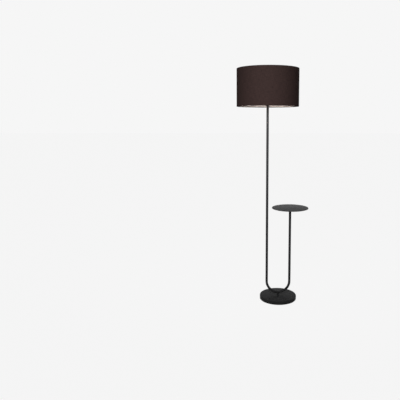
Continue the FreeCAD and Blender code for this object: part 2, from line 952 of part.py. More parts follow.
pieces = {
    "base_pad": base_pad(),
    "base_weight": base_weight(),
    "base_cover": base_cover(),
    "cord_gland": cord_gland(),
    "terminal_block": terminal_block(),
    "terminal_screws": terminal_screws(),
    "block_screw": block_screw(),
    "stem_washer": stem_washer(),
    "stem_nut": stem_nut(),
    "stem_nipple": stem_nipple(),
    "nipple_bush": nipple_bush(),
    "stem": stem(),
    "u_tube": u_tube(),
    "lower_joint_socket": tapped_insert(lamp_leg_height),
    "lower_joint_stud": threaded_insert(lamp_leg_height),
    "lower_pole": pole_section(lamp_leg_height),
    "upper_joint_socket": tapped_insert(middle_joint),
    "upper_joint_stud": threaded_insert(middle_joint),
    "upper_pole": pole_section(middle_joint),
    "pole_top_insert": tapped_insert(pole_top),
    "inner_lead": inner_lead(),
    "table_leg_insert": table_leg_insert(),
    "table_stud": table_stud(),
    "table_flange": table_flange(),
    "table_top": table_top(),
    "holder_washer": holder_washer(),
    "holder_nipple": holder_nipple(),
    "holder_lock_nut": holder_lock_nut(),
    "holder_cap": holder_cap(),
    "holder_insulator": holder_insulator(),
    "holder_terminal_screws": holder_terminal_screws(),
    "centre_contact": centre_contact(),
    "screw_shell": screw_shell(),
    "holder_body": holder_body(),
    "shade_ring_lower": shade_ring(fitter_underside - clamp_play, -1),
    "shade_ring_upper": shade_ring(upper_ring_bottom, 1),
    "bulb_tip": bulb_tip(),
    "bulb_insulator": bulb_insulator(),
    "bulb_cap": bulb_cap(),
    "bulb_housing": bulb_housing(),
    "bulb_globe": bulb_globe(),
    "shade_fabric": shade_fabric(),
    "shade_liner": shade_liner(),
    "shade_top_ring": shade_top_ring(),
    "shade_spider": shade_spider(),
    "shade_seam": shade_seam(),
}

os.makedirs("parts", exist_ok=True)
for name, shape in pieces.items():
    shape.exportStep("parts/" + name + ".step")
print("pieces:", len(pieces), " overall height %.1f" % shade_top)
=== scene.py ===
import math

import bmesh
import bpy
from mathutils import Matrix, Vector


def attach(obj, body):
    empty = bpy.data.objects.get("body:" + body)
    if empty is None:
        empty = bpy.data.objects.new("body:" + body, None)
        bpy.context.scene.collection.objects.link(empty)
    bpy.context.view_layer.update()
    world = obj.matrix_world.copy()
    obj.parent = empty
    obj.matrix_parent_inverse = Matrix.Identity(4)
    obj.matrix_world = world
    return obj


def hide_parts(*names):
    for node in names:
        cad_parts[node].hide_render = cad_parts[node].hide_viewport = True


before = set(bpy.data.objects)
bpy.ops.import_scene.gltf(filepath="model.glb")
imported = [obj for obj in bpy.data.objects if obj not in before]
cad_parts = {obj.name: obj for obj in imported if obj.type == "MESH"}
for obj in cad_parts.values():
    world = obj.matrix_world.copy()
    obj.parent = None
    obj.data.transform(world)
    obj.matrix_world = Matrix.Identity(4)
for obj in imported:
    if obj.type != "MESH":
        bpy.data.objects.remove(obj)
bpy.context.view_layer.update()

# %% [markdown]
# # A floor lamp with a small table
#
# The real object stands on a round weighted base. A short neck carries one steel tube bent into a U:
# one leg goes on as the lamp's pole, the other carries a round table. A black cloth drum shade hangs
# on the lampholder. The imported CAD model is already loaded as the frame. Every new piece is put where
# the frame has it, in metres.

lamp_x = -0.076
table_x = 0.076

# %% [markdown]
# ## Colours
#
# A shader wants linear light, while colours are usually read off as numbers from 0 to 255. Blender
# would convert a hex colour in its own picker. In a script a short function does the same, so each
# finish below can be written with the numbers that one sees.


# %% From seen colours to linear ones
def seen(red, green, blue):
    """A colour read as 0 to 255, as the linear colour with alpha that a shader wants."""
    linear = []
    for value in (red, green, blue):
        share = value / 255
        linear.append(share / 12.92 if share <= 0.04045 else ((share + 0.055) / 1.055) ** 2.4)
    return (*linear, 1.0)


print("a seen grey of 128 is", [round(value, 3) for value in seen(128, 128, 128)], "in linear light")


# %% [markdown]
# ## A small kit for finishes
#
# Every finish here is a Principled shader with some texture nodes in front of it. The same few nodes
# come back each time: a noise that follows the object's own coordinates, a blend between two colours,
# and a bump. Building them by hand in the shader editor works too, but a helper for each keeps the
# finishes short and all of one kind. A value that is the same all over a surface stays on the
# shader's own socket, because a linked constant can get lost when the model is exported.


def new_finish(name, colour, roughness, **sockets):
    """A Principled material named after its finish. Further sockets go by name, with _ for a space."""
    material = bpy.data.materials.new(name + "_finish")
    material.use_nodes = True
    shader = material.node_tree.nodes["Principled BSDF"]
    shader.inputs["Base Color"].default_value = colour
    shader.inputs["Roughness"].default_value = roughness
    for socket, value in sockets.items():
        shader.inputs[socket.replace("_", " ")].default_value = value
    return material


def add_node(material, kind, **values):
    """A node of that kind. Values name its input sockets, with _ for a space."""
    node = material.node_tree.nodes.new(kind)
    for socket, value in values.items():
        node.inputs[socket.replace("_", " ")].default_value = value
    return node


def wire(material, source, target):
    material.node_tree.links.new(source, target)


def own_place(material, centre=(0, 0, 0), stretch=(1, 1, 1)):
    """The object's own coordinates, moved to a centre and stretched."""
    shift = [-middle * share for middle, share in zip(centre, stretch)]
    mapping = add_node(material, "ShaderNodeMapping", Location=shift, Scale=stretch)
    wire(material, add_node(material, "ShaderNodeTexCoord").outputs["Object"], mapping.inputs["Vector"])
    return mapping.outputs["Vector"]


def noise(material, place, scale, detail=2.0, roughness=0.5):
    node = add_node(material, "ShaderNodeTexNoise", Scale=scale, Detail=detail, Roughness=roughness)
    wire(material, place, node.inputs["Vector"])
    return node.outputs["Fac"]


def between(material, factor, low, high, start, end):
    """A number that goes from start to end as the factor goes from low to high."""
    node = add_node(material, "ShaderNodeMapRange")
    for socket, value in zip(("From Min", "From Max", "To Min", "To Max"), (low, high, start, end)):
        node.inputs[socket].default_value = value
    wire(material, factor, node.inputs["Value"])
    return node.outputs["Result"]


def blend_colours(material, factor, first, second):
    """Colours the shader from first to second by the factor."""
    mix = material.node_tree.nodes.new("ShaderNodeMix")
    mix.data_type = "RGBA"
    wire(material, factor, mix.inputs["Factor"])
    colour_inputs = [socket for socket in mix.inputs if socket.type == "RGBA"]
    for socket, colour in zip(colour_inputs, (first, second)):
        socket.default_value = colour
    result = [socket for socket in mix.outputs if socket.type == "RGBA"][0]
    wire(material, result, material.node_tree.nodes["Principled BSDF"].inputs["Base Color"])


def raise_grain(material, height, distance):
    """Bumps the surface by a height from 0 to 1, times a distance in metres."""
    bump = add_node(material, "ShaderNodeBump", Strength=1.0, Distance=distance)
    wire(material, height, bump.inputs["Height"])
    wire(material, bump.outputs["Normal"], material.node_tree.nodes["Principled BSDF"].inputs["Normal"])


def vary_roughness(material, factor, low, high):
    """Lets the roughness go between two values with a factor that varies about 0.5."""
    rough = between(material, factor, 0.3, 0.7, low, high)
    wire(material, rough, material.node_tree.nodes["Principled BSDF"].inputs["Roughness"])


print("kit ready: finish, noise, blend, bump and roughness")

# %% [markdown]
# ## The black coat
#
# All the steel that shows is powder coated: a black, satin skin about a tenth of a millimetre thick,
# which flows out a little unevenly and leaves a fine orange-peel grain. A flat black would do from
# far away, but up close the grain is what breaks up a highlight. So a fine noise bumps the surface, a
# broad one shifts the black a little, and the gloss varies with it.

# %% Satin black powder coat
black_coat = new_finish("black_coat", seen(60, 60, 61), 0.38, Specular_IOR_Level=0.017)
coat_place = own_place(black_coat)
coat_cloud = noise(black_coat, coat_place, 9.0, detail=3.0)
blend_colours(black_coat, coat_cloud, seen(56, 56, 57), seen(64, 64, 65))
vary_roughness(black_coat, coat_cloud, 0.35, 0.41)
raise_grain(black_coat, noise(black_coat, coat_place, 900.0, detail=2.0), 0.00004)
print("finish:", black_coat.name)

# %% [markdown]
# ## Finishes of the pieces inside the base and the tubes
#
# These pieces are hidden in use and show only when the lamp is taken apart, but each still gets the
# finish of its stuff: sand-cast iron has a coarse, dark skin, foam has cells, turned and pressed
# steel is zinc plated, and the plastics are either plain moulded or soft. A loop over the plain ones
# would be shorter, but each differs in what its grain looks like, so each is written out.

# %% Iron, foam, zinc and the plastics in the base
cast_iron = new_finish("cast_iron", seen(66, 64, 62), 0.7, Metallic=0.55)
iron_place = own_place(cast_iron)
blend_colours(cast_iron, noise(cast_iron, iron_place, 60.0, detail=6.0), seen(46, 45, 44), seen(88, 84, 80))
raise_grain(cast_iron, noise(cast_iron, iron_place, 420.0, detail=5.0, roughness=0.7), 0.0004)

foam_pad = new_finish("foam_pad", seen(36, 36, 37), 0.92, Specular_IOR_Level=0.2)
foam_place = own_place(foam_pad)
foam_cells = add_node(foam_pad, "ShaderNodeTexVoronoi", Scale=1400.0)
wire(foam_pad, foam_place, foam_cells.inputs["Vector"])
blend_colours(foam_pad, foam_cells.outputs["Distance"], seen(26, 26, 27), seen(48, 48, 49))
raise_grain(foam_pad, foam_cells.outputs["Distance"], 0.0003)

zinc_steel = new_finish("zinc_steel", seen(190, 192, 196), 0.34, Metallic=1.0)
zinc_place = own_place(zinc_steel)
zinc_streak = noise(zinc_steel, zinc_place, 260.0, detail=4.0)
blend_colours(zinc_steel, zinc_streak, seen(168, 170, 176), seen(208, 210, 212))
vary_roughness(zinc_steel, zinc_streak, 0.26, 0.42)

block_plastic = new_finish("block_plastic", seen(232, 229, 218), 0.45)
block_place = own_place(block_plastic)
block_cloud = noise(block_plastic, block_place, 120.0)
blend_colours(block_plastic, block_cloud, seen(226, 222, 210), seen(238, 236, 226))
raise_grain(block_plastic, noise(block_plastic, block_place, 1500.0), 0.00003)

bush_rubber = new_finish("bush_rubber", seen(32, 32, 32), 0.6, Specular_IOR_Level=0.35)
bush_place = own_place(bush_rubber)
blend_colours(bush_rubber, noise(bush_rubber, bush_place, 80.0), seen(27, 27, 27), seen(37, 37, 37))
raise_grain(bush_rubber, noise(bush_rubber, bush_place, 1800.0), 0.00003)

lead_sheath = new_finish("lead_sheath", seen(30, 30, 32), 0.5)
lead_place = own_place(lead_sheath)
blend_colours(lead_sheath, noise(lead_sheath, lead_place, 40.0), seen(26, 26, 28), seen(36, 36, 38))
raise_grain(lead_sheath, noise(lead_sheath, lead_place, 700.0), 0.00006)

hidden_finishes = (cast_iron, foam_pad, zinc_steel, block_plastic, bush_rubber, lead_sheath)
print("finishes:", [finish.name for finish in hidden_finishes])

# %% [markdown]
# ## Finishes of the lampholder and the bulb
#
# The lampholder is moulded in black thermoplastic with a spark-eroded, finely pitted skin. Its core
# is steatite, a dense off-white ceramic with faint specks. The contact and the screw sleeve are
# brass, the bulb's cap is nickel plated, its lower half is white plastic and its globe opal. The
# globe lets some light into its wall, which the shader's subsurface socket stands for, and since the
# bulb is on, its surface gives off light as well.

# %% Plastic, ceramic, brass, nickel and opal
holder_plastic = new_finish("holder_plastic", seen(30, 30, 31), 0.5, Specular_IOR_Level=0.4)
holder_place = own_place(holder_plastic)
holder_pits = noise(holder_plastic, holder_place, 2200.0, detail=3.0)
blend_colours(holder_plastic, holder_pits, seen(25, 25, 26), seen(37, 37, 38))
raise_grain(holder_plastic, holder_pits, 0.00005)

core_ceramic = new_finish("core_ceramic", seen(226, 220, 206), 0.38)
ceramic_specks = add_node(core_ceramic, "ShaderNodeTexVoronoi", Scale=700.0)
wire(core_ceramic, own_place(core_ceramic), ceramic_specks.inputs["Vector"])
speck_share = between(core_ceramic, ceramic_specks.outputs["Distance"], 0.0, 0.22, 1.0, 0.0)
blend_colours(core_ceramic, speck_share, seen(228, 222, 208), seen(196, 186, 168))

brass = new_finish("brass", seen(205, 172, 96), 0.3, Metallic=1.0)
brass_tarnish = noise(brass, own_place(brass), 180.0, detail=5.0)
blend_colours(brass, brass_tarnish, seen(182, 146, 74), seen(222, 192, 118))
vary_roughness(brass, brass_tarnish, 0.24, 0.42)

cap_nickel = new_finish("cap_nickel", seen(196, 192, 184), 0.26, Metallic=1.0)
nickel_cloud = noise(cap_nickel, own_place(cap_nickel), 150.0, detail=3.0)
blend_colours(cap_nickel, nickel_cloud, seen(182, 178, 170), seen(210, 207, 200))
vary_roughness(cap_nickel, nickel_cloud, 0.2, 0.34)

bulb_glass_black = new_finish("bulb_glass_black", seen(18, 18, 20), 0.16)
glass_cloud = noise(bulb_glass_black, own_place(bulb_glass_black), 90.0)
blend_colours(bulb_glass_black, glass_cloud, seen(14, 14, 16), seen(24, 24, 26))

bulb_white = new_finish("bulb_white", seen(236, 236, 233), 0.42)
white_place = own_place(bulb_white)
blend_colours(bulb_white, noise(bulb_white, white_place, 50.0), seen(232, 232, 228), seen(240, 240, 238))
raise_grain(bulb_white, noise(bulb_white, white_place, 1300.0), 0.00002)

bulb_opal = new_finish("bulb_opal", seen(244, 242, 236), 0.5, Subsurface_Weight=0.35, Subsurface_Scale=0.004,
                       Emission_Color=seen(255, 250, 245), Emission_Strength=32.0)
opal_place = own_place(bulb_opal)
blend_colours(bulb_opal, noise(bulb_opal, opal_place, 30.0), seen(240, 238, 231), seen(247, 246, 241))
raise_grain(bulb_opal, noise(bulb_opal, opal_place, 1600.0), 0.00002)

electric_finishes = (holder_plastic, core_ceramic, brass, cap_nickel, bulb_glass_black, bulb_white, bulb_opal)
print("finishes:", [finish.name for finish in electric_finishes])

# %% [markdown]
# ## The shade's finishes
#
# The cloth is a plain weave of black and dark brown thread, about two threads to the millimetre, with
# a browner stretch here and there. Its pattern has to follow the cloth round the drum, so it reads
# the piece's own UV map, which is laid out in metres. Two wave textures, one for each direction of
# thread, are multiplied into a checker of over and under, which bumps the surface. Two stretched
# noises, multiplied as well, colour the threads unevenly along their length. Real cloth often has a
# sheen from its fine hairs, but this one grows darker towards the shade's edges, so it gets none.

# %% Black-brown woven cloth
thread_spacing = 0.0005
along_thread = 40
across_thread = 900
shade_cloth = new_finish("shade_cloth", seen(43, 33, 31), 0.9, Specular_IOR_Level=0.04)
cloth_uv = add_node(shade_cloth, "ShaderNodeUVMap").outputs["UV"]


def threads(direction, stretch):
    """Waves across one direction of the cloth, and a grain that is drawn out along its threads."""
    uneven = add_node(shade_cloth, "ShaderNodeMapping", Scale=stretch)
    wire(shade_cloth, cloth_uv, uneven.inputs["Vector"])
    grain = noise(shade_cloth, uneven.outputs["Vector"], 1.0, detail=2.0)
    # At a scale of 1 the wave texture repeats every pi / 10 metres.
    wave = add_node(shade_cloth, "ShaderNodeTexWave", Scale=math.pi / (10 * thread_spacing))
    wave.bands_direction = direction
    wire(shade_cloth, cloth_uv, wave.inputs["Vector"])
    return wave.outputs["Fac"], grain


def multiply(material, first, second):
    node = material.node_tree.nodes.new("ShaderNodeMath")
    node.operation = "MULTIPLY"
    wire(material, first, node.inputs[0])
    wire(material, second, node.inputs[1])
    return node.outputs["Value"]


weft_wave, weft_grain = threads("Y", (along_thread, across_thread, 1))
warp_wave, warp_grain = threads("X", (across_thread, along_thread, 1))
weave = multiply(shade_cloth, weft_wave, warp_wave)
yarn = multiply(shade_cloth, weft_grain, warp_grain)
cloth_tone = between(shade_cloth, yarn, 0.1, 0.42, 0.0, 1.0)
blend_colours(shade_cloth, cloth_tone, seen(32, 24, 23), seen(54, 41, 39))
raise_grain(shade_cloth, weave, 0.00012)
print("cloth: a thread every", thread_spacing * 1000, "mm")

# %% [markdown]
# The lining is a warm white film glued inside the cloth, and the shade's wire frame is dipped in white
# enamel. Both are plain at a distance. The film has a faint paper fibre, and the enamel runs a little
# thick and thin along the wire.

# %% Lining film and white enamel
shade_lining = new_finish("shade_lining", seen(240, 229, 223), 0.7, Specular_IOR_Level=0.3)
lining_place = own_place(shade_lining, centre=(lamp_x, 0, 1.4), stretch=(1, 1, 0.2))
lining_fibre = noise(shade_lining, lining_place, 300.0, detail=5.0)
blend_colours(shade_lining, lining_fibre, seen(234, 222, 216), seen(245, 236, 231))
raise_grain(shade_lining, noise(shade_lining, own_place(shade_lining), 1200.0, detail=3.0), 0.00004)

wire_white = new_finish("wire_white", seen(232, 231, 227), 0.32, Coat_Weight=0.3)
enamel_place = own_place(wire_white)
blend_colours(wire_white, noise(wire_white, enamel_place, 90.0), seen(226, 224, 219), seen(238, 238, 236))
raise_grain(wire_white, noise(wire_white, enamel_place, 240.0), 0.00008)
print("finishes:", shade_lining.name, wire_white.name)


# %% [markdown]
# ## From a mesh to a piece
#
# Shaping happens in a bmesh, Blender's mesh for scripts. Once it is right it becomes an object, whose
# place stays in its mesh, so the object itself sits at the origin unturned. Edges sharper than a
# given angle stay crisp and the rest shade smoothly, the same as Shade Auto Smooth would do. Then
# the piece is hung on the empty of the body it rides on, and the CAD nodes it stands for are hidden.


# %% Finishing a piece
def add_piece(mesh, name, finish, body, *nodes, crisp=35.0):
    """Makes the object, hangs it on the body that carries it, and hides the CAD nodes it stands for."""
    for face in mesh.faces:
        face.smooth = True
    for edge in mesh.edges:
        edge.smooth = edge.calc_face_angle(0.0) < math.radians(crisp)
    data = bpy.data.meshes.new(name)
    mesh.to_mesh(data)
    mesh.free()
    data.materials.append(finish)
    piece = bpy.data.objects.new(name, data)
    bpy.context.scene.collection.objects.link(piece)
    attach(piece, body)
    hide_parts(*nodes)
    print(name, "has", len(data.polygons), "faces")
    return piece


# %% [markdown]
# ## Turned pieces
#
# Most of the lamp is turned, spun or moulded round: its covers, tubes and rings are one outline
# carried round an axis. A cylinder with many bevels would come out the same, but a lathe works from
# the outline, and so does this helper. The corners are joined by edges, each rounded corner gets a
# vertex bevel, and the outline is spun a full turn and merged where it meets itself.

# %% A lathe
rounding_segments = 5


def draw_outline(mesh, corners):
    """A closed outline through corners of (radius, height, rounding), in the XZ plane."""
    points = [mesh.verts.new((corner[0], 0, corner[1])) for corner in corners]
    places = [point.co.copy() for point in points]
    for here, there in zip(points, points[1:] + points[:1]):
        if here.co.x > 0 or there.co.x > 0:
            mesh.edges.new((here, there))
    for i, corner in enumerate(corners):
        if len(corner) < 3:
            continue
        to_last = places[i - 1] - places[i]
        to_next = places[(i + 1) % len(places)] - places[i]
        reach = corner[2] / math.tan(to_last.angle(to_next) / 2)
        bmesh.ops.bevel(mesh, geom=[points[i]], offset=reach, affect="VERTICES",
                        segments=rounding_segments, profile=0.5, material=-1)


def spin_outline(mesh, steps, angle=2 * math.pi):
    """Carries every edge drawn so far round the upright axis through the origin."""
    full_turn = angle == 2 * math.pi
    bmesh.ops.spin(mesh, geom=mesh.verts[:] + mesh.edges[:], cent=(0, 0, 0), axis=(0, 0, 1),
                   angle=angle, steps=steps, use_merge=full_turn)
    bmesh.ops.remove_doubles(mesh, verts=mesh.verts[:], dist=1e-6)
    if not full_turn:
        bmesh.ops.holes_fill(mesh, edges=mesh.edges[:], sides=0)
    bmesh.ops.recalc_face_normals(mesh, faces=mesh.faces[:])


def turned(corners, axis_x=0.0, steps=128):
    mesh = bmesh.new()
    draw_outline(mesh, corners)
    spin_outline(mesh, steps)
    bmesh.ops.translate(mesh, verts=mesh.verts[:], vec=(axis_x, 0, 0))
    return mesh


trial = turned([(0.01, 0), (0.02, 0, 0.002), (0.02, 0.01)], steps=16)
print("a trial ring has", len(trial.faces), "faces")
trial.free()

# %% [markdown]
# ## The base
#
# A spun steel cover hides a cast-iron weight. Its rim is rounded by the spinning roller, and that
# rounding catches the light as a thin line in the photograph. The inlet hole at the rear is cut by a
# Boolean with a short cylinder: one hole in an otherwise round piece is quicker to cut than to
# model. The cutter is thrown away once the result has been read back as a plain mesh.

# %% Base cover
base_radius = 0.1215
base_height = 0.024
cover_wall = 0.0012
cover_low = 0.0014
gland_z = 0.0105
stem_thread_bore = 0.00505
gland_hole = 0.0062

cover_mesh = turned([
    (stem_thread_bore, base_height),
    (base_radius, base_height, 0.003),
    (base_radius, cover_low, 0.0005),
    (base_radius - cover_wall, cover_low, 0.0005),
    (base_radius - cover_wall, base_height - cover_wall, 0.0018),
    (stem_thread_bore, base_height - cover_wall),
], steps=192)


def cut_with(mesh, cutter):
    """The mesh with the cutter's room taken out of it, by an exact Boolean."""
    stock = bpy.data.objects.new("stock", bpy.data.meshes.new("stock"))
    tool = bpy.data.objects.new("tool", bpy.data.meshes.new("tool"))
    mesh.to_mesh(stock.data)
    cutter.to_mesh(tool.data)
    cutter.free()
    for scrap in (stock, tool):
        bpy.context.scene.collection.objects.link(scrap)
    boolean = stock.modifiers.new("cut", "BOOLEAN")
    boolean.operation = "DIFFERENCE"
    boolean.solver = "EXACT"
    boolean.object = tool
    result = bpy.data.meshes.new_from_object(stock.evaluated_get(bpy.context.evaluated_depsgraph_get()))
    mesh.clear()
    mesh.from_mesh(result)
    for scrap in (stock, tool):
        bpy.data.objects.remove(scrap)
    return mesh


gland_drill = bmesh.new()
drill_place = Matrix.Translation((0, base_radius, gland_z)) @ Matrix.Rotation(math.pi / 2, 4, "X")
bmesh.ops.create_cone(gland_drill, cap_ends=True, segments=48, radius1=gland_hole, radius2=gland_hole,
                      depth=0.006, matrix=drill_place)
add_piece(cut_with(cover_mesh, gland_drill), "cover_shell", black_coat, "stand", "base_cover")

# %% [markdown]
# The pad under the base is a punched disc of foam with a soft, slightly rolled edge. The inlet bush is
# moulded in black plastic; its outline is turned upright like all the others, then laid down so that
# its axis points to the rear.

# %% Foam pad and inlet bush
pad_radius = 0.1175
pad_height = 0.002

pad_mesh = turned([
    (0, 0),
    (pad_radius, 0, 0.0007),
    (pad_radius, pad_height, 0.0004),
    (0, pad_height),
], steps=160)
add_piece(pad_mesh, "foam_disc", foam_pad, "stand", "base_pad")

bush_bore = 0.0036
bush_sleeve = 0.0053
bush_lock = 0.0075
bush_neck = 0.0060
bush_flange = 0.0085
lock_y = 0.11987
sleeve_y = lock_y - 0.011
flange_y = base_radius + 0.0024

bush_mesh = turned([
    (bush_bore, sleeve_y, 0.0006),
    (bush_sleeve, sleeve_y, 0.0006),
    (bush_sleeve, lock_y - 0.002),
    (bush_lock, lock_y - 0.002, 0.0009),
    (bush_lock, lock_y),
    (bush_neck, lock_y),
    (bush_neck, base_radius),
    (bush_flange, base_radius),
    (bush_flange, flange_y, 0.0009),
    (bush_bore, flange_y, 0.0007),
], steps=64)
bmesh.ops.rotate(bush_mesh, verts=bush_mesh.verts[:], cent=(0, 0, 0),
                 matrix=Matrix.Rotation(-math.pi / 2, 3, "X"))
bmesh.ops.translate(bush_mesh, verts=bush_mesh.verts[:], vec=(0, 0, gland_z))
add_piece(bush_mesh, "inlet_bush", bush_rubber, "stand", "cord_gland")


# %% [markdown]
# ## The bent tube
#
# One steel tube is drawn round a former to a half circle and carries both legs. A curve with a bevel
# would give only its outside. To keep its wall it is grown from rims: circles of edges that are pushed
# straight on or spun round a bend. Short helpers do both, and the shade's wires use them again.


# %% Runs and bends
def vertices_in(parts):
    return [part for part in parts if isinstance(part, bmesh.types.BMVert)]


def rim_edges(grown):
    """The edges among what an operator gave back, without those that are sides of new faces."""
    ends = set(vertices_in(grown))
    return [part for part in grown if isinstance(part, bmesh.types.BMEdge) and ends.issuperset(part.verts)]


def new_rim(mesh, radius, place, facing, segments):
    """A circle of edges round a place, facing along a direction."""
    turn = Vector(facing).to_track_quat("Z", "Y").to_matrix().to_4x4()
    circle = bmesh.ops.create_circle(mesh, cap_ends=False, segments=segments, radius=radius,
                                     matrix=Matrix.Translation(place) @ turn)
    corners = set(circle["verts"])
    return [edge for edge in mesh.edges if corners.issuperset(edge.verts)]


def run_on(mesh, rim, way):
    """Pushes a rim straight along a way and gives back the new rim."""
    grown = bmesh.ops.extrude_edge_only(mesh, edges=rim)["geom"]
    bmesh.ops.translate(mesh, verts=vertices_in(grown), vec=way)
    return rim_edges(grown)


def bend_on(mesh, rim, centre, axis, degrees, steps):
    """Carries a rim round a bend and gives back the new rim."""
    corners = list({vertex for edge in rim for vertex in edge.verts})
    turn = bmesh.ops.spin(mesh, geom=corners + rim, cent=centre, axis=axis,
                          angle=math.radians(degrees), steps=steps)
    return rim_edges(turn["geom_last"])


print("runs and bends ready")

# %% [markdown]
# Two rims, outer and inner, are pushed down the table leg, spun half a turn round the bend's centre
# and pushed up the lamp leg. Joined to each other at both ends, the two skins become one wall.

# %% The U of tube
tube_radius = 0.008
tube_bore = 0.0068
bend_z = 0.1185
table_leg_top = 0.613
lamp_leg_top = 0.613

u_mesh = bmesh.new()
start_rims = [new_rim(u_mesh, radius, (table_x, 0, table_leg_top), (0, 0, 1), 48)
              for radius in (tube_radius, tube_bore)]
rims = [run_on(u_mesh, rim, (0, 0, bend_z - table_leg_top)) for rim in start_rims]
rims = [bend_on(u_mesh, rim, (0, 0, bend_z), (0, 1, 0), 180, 72) for rim in rims]
rims = [run_on(u_mesh, rim, (0, 0, lamp_leg_top - bend_z)) for rim in rims]
for pair in (start_rims, rims):
    bmesh.ops.bridge_loops(u_mesh, edges=pair[0] + pair[1])
bmesh.ops.remove_doubles(u_mesh, verts=u_mesh.verts[:], dist=1e-6)
bmesh.ops.recalc_face_normals(u_mesh, faces=u_mesh.faces[:])
low_point = min(vertex.co.z for vertex in u_mesh.verts)
add_piece(u_mesh, "u_bend", black_coat, "stand", "u_tube")
print("the bend's lowest point is at", round(low_point, 4), "m")

# %% [markdown]
# ## The pole
#
# Two straight tubes carry the lampholder. They are screwed together, and at each joint the tube ends
# are eased by a fraction of a millimetre, so that a fine dark line shows round the pole. That line is
# the only thing that tells a sectioned pole from a long one, so it's worth its bevel.

# %% Two pole sections
joint_z = 0.9542
pole_top = 1.2954
end_easing = 0.0004
pole_steps = 64


def pole_section(name, low, high):
    outline = [(tube_bore, low), (tube_radius, low, end_easing),
               (tube_radius, high, end_easing), (tube_bore, high)]
    add_piece(turned(outline, lamp_x, pole_steps), "section_" + name, black_coat, "stand", name)


pole_section("lower_pole", lamp_leg_top, joint_z)
pole_section("upper_pole", joint_z, pole_top)

# %% [markdown]
# ## The table
#
# The table is a disc of 4 mm steel, with its edge dressed round before coating. Seen from a standing
# height its top is a flat ellipse, a little paler than the pole and the base, because it faces up to
# the lights and to the lit bulb. Nothing is painted paler: the light does it. A flange welded under
# the disc screws onto the leg.

# %% Table top and flange
table_z = 0.620
table_under = table_z - 0.004
table_radius = 0.120
table_easing = 0.0012
flange_radius = 0.025
flange_bore = 0.00405

table_mesh = turned([
    (0, table_under),
    (table_radius, table_under, table_easing),
    (table_radius, table_z, table_easing),
    (0, table_z),
], table_x, steps=192)
add_piece(table_mesh, "table_disc", black_coat, "stand", "table_top")

flange_mesh = turned([
    (flange_bore, table_leg_top),
    (flange_radius, table_leg_top, 0.0008),
    (flange_radius, table_under),
    (flange_bore, table_under),
], table_x, steps=96)
add_piece(flange_mesh, "under_flange", black_coat, "stand", "table_flange")

# %% [markdown]
# ## The lampholder
#
# The holder is the part that takes the most care inside the shade. Its lower half is a moulded bell
# with a seat for the ceramic core. One outline on the lathe goes round its outside and its inside, so
# the wall is as thick or thin as it is moulded, which a Solidify modifier could not give.

# %% Holder bell
holder_z = 1.2969
bell_top = holder_z + 0.022
bell_shoulder = holder_z + 0.012
bell_floor = holder_z + 0.0026
core_seat = holder_z + 0.013
bell_radius = 0.0192
bell_foot = 0.012
bell_socket = 0.0172
bell_bore = 0.0152
floor_radius = 0.0100

bell_mesh = turned([
    (stem_thread_bore, holder_z),
    (bell_foot, holder_z, 0.002),
    (bell_radius, bell_shoulder, 0.004),
    (bell_radius, bell_top, 0.0005),
    (bell_socket, bell_top),
    (bell_socket, core_seat),
    (bell_bore, core_seat),
    (bell_bore, bell_shoulder, 0.002),
    (floor_radius, bell_floor, 0.001),
    (stem_thread_bore, bell_floor),
], lamp_x, steps=96)
add_piece(bell_mesh, "holder_bell", holder_plastic, "stand", "holder_cap")

# %% [markdown]
# The upper half is a sleeve with a coarse thread, on which two ring nuts clamp the shade. The thread
# is a real helix: the section of its ridge is spun many turns while the spin's dvec lifts each step a
# little, and both its ends are filled. A stack of plain rings would be simpler, but a thread that
# doesn't climb is seen at once.

# %% Holder sleeve with its thread
sleeve_low = bell_top
sleeve_high = sleeve_low + 0.036
sleeve_bore = 0.0156
spigot_low = sleeve_low - 0.005
spigot_radius = 0.01715
mouth_radius = 0.0144
lip_low = sleeve_high - 0.002
thread_crest = 0.0199
thread_root = bell_radius
ridge_foot = thread_root - 0.0002
thread_end = sleeve_high - 0.0024
thread_pitch = 0.003
ridge_width = 0.002
steps_per_turn = 64

sleeve_mesh = turned([
    (sleeve_bore, spigot_low),
    (spigot_radius, spigot_low),
    (spigot_radius, sleeve_low),
    (thread_root, sleeve_low),
    (thread_root, thread_end),
    (thread_crest, sleeve_high - 0.0018),
    (thread_crest, sleeve_high, 0.001),
    (mouth_radius, sleeve_high, 0.0005),
    (mouth_radius, lip_low),
    (sleeve_bore, lip_low),
], steps=96)


def take_in(mesh, other):
    """Adds the other mesh to this one."""
    data = bpy.data.meshes.new("taken_in")
    other.to_mesh(data)
    other.free()
    mesh.from_mesh(data)
    bpy.data.meshes.remove(data)


ridge_start = sleeve_low + 0.0006
ridge_mesh = bmesh.new()
draw_outline(ridge_mesh, [
    (ridge_foot, ridge_start),
    (thread_crest, ridge_start + 0.0007),
    (thread_crest, ridge_start + 0.0013),
    (ridge_foot, ridge_start + ridge_width),
])
turns = int((thread_end - ridge_start - ridge_width) / thread_pitch)
bmesh.ops.spin(ridge_mesh, geom=ridge_mesh.verts[:] + ridge_mesh.edges[:], cent=(0, 0, 0), axis=(0, 0, 1),
               angle=2 * math.pi * turns, steps=steps_per_turn * turns,
               dvec=(0, 0, thread_pitch / steps_per_turn))
bmesh.ops.holes_fill(ridge_mesh, edges=ridge_mesh.edges[:], sides=0)
bmesh.ops.recalc_face_normals(ridge_mesh, faces=ridge_mesh.faces[:])
take_in(sleeve_mesh, ridge_mesh)
bmesh.ops.translate(sleeve_mesh, verts=sleeve_mesh.verts[:], vec=(lamp_x, 0, 0))
add_piece(sleeve_mesh, "holder_sleeve", holder_plastic, "stand", "holder_body", crisp=50)
print("the thread makes", turns, "turns")

# %% [markdown]
# The two ring nuts have twelve finger grips in their flange. Each nut is turned with many steps, and
# then the vertices of the flange's rim are drawn in wherever a grip is: the same as scaling them with
# a falloff by hand, but all twelve alike.

